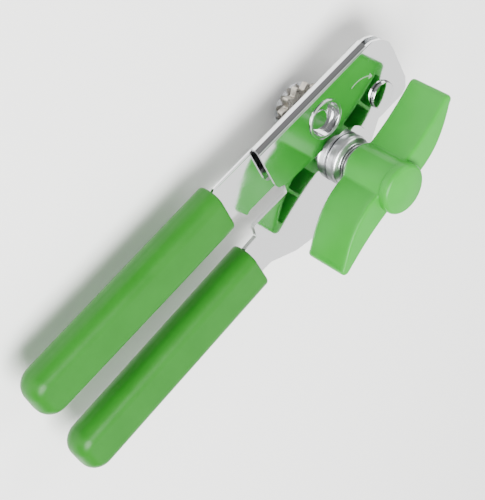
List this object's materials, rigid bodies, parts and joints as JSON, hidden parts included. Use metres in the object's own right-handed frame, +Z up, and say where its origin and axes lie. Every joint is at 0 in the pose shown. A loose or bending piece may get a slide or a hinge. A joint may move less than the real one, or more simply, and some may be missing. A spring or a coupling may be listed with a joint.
{
  "type": "manual can opener",
  "caption": "Hand can opener: two chromed handles with green grips hinge on a rivet, and a green knob turns a serrated feed wheel geared to a round cutter.",
  "frame": {"origin": "centre of the whole opener's bounding box in plan, at its lowest point, the end of the crank shaft", "axes": "+X towards the head and pivot, +Y towards the rolled spine and upper handle, +Z up the crank axis towards the knob"},
  "size_m": [0.2064, 0.0664, 0.0573],
  "materials": {
    "bright_chrome": "bright chrome plate on pressed steel",
    "turned_chrome": "chrome plate over fine turning marks",
    "green_grip": "satin moulded sleeve",
    "green_knob": "smooth gloss moulding",
    "gear_steel": "stamped steel, tumbled and nickel plated",
    "cutter_steel": "hardened steel, ground",
    "fixing_steel": "bright zinc plate",
    "sintered_bronze": "oiled sintered bronze"
  },
  "bodies": {
    "handle_a": {"folded_body": "bright_chrome", "upper_grip": "green_grip", "pivot_rivet": "turned_chrome", "pivot_washer": "fixing_steel", "cutter_cup": "bright_chrome", "cutter_axle": "turned_chrome", "cutter_spacer": "fixing_steel", "cutter_washer": "fixing_steel", "cutter_nut": "fixing_steel"},
    "handle_b": {"lower_handle_plate": "bright_chrome", "lower_grip": "green_grip", "crank_bearing": "turned_chrome", "rear_bearing": "fixing_steel", "crank_bush": "sintered_bronze"},
    "crank": {"crank_shaft": "turned_chrome", "knob_screw": "fixing_steel", "thrust_washer": "fixing_steel", "spring_washer": "fixing_steel", "collar_washer": "fixing_steel", "drive_gear": "gear_steel", "feed_wheel": "cutter_steel", "feed_nut": "fixing_steel", "knob": "green_knob", "knob_cap": "green_knob"},
    "cutter": {"cutter_gear": "gear_steel", "cutter_wheel": "cutter_steel", "cutter_bush": "sintered_bronze"}
  },
  "joints": [
    {"name": "handle_swing", "type": "hinge", "parent": "handle_a", "child": "handle_b", "pos_m": [0.08882, 0.00294, 0.0228], "axis": [0, 0, 1], "range_deg": [0, 45]},
    {"name": "crank_spin", "type": "hinge", "parent": "handle_b", "child": "crank", "pos_m": [0.06162, -0.00996, 0.0228], "axis": [0, 0, 1], "continuous": true},
    {"name": "cutter_spin", "type": "hinge", "parent": "handle_a", "child": "cutter", "pos_m": [0.05882, 0.01664, 0.0228], "axis": [0, 0, 1], "continuous": true}
  ],
  "couplings": [
    {"joint": "cutter_spin", "follows": "crank_spin", "ratio": -1.4167}
  ]
}
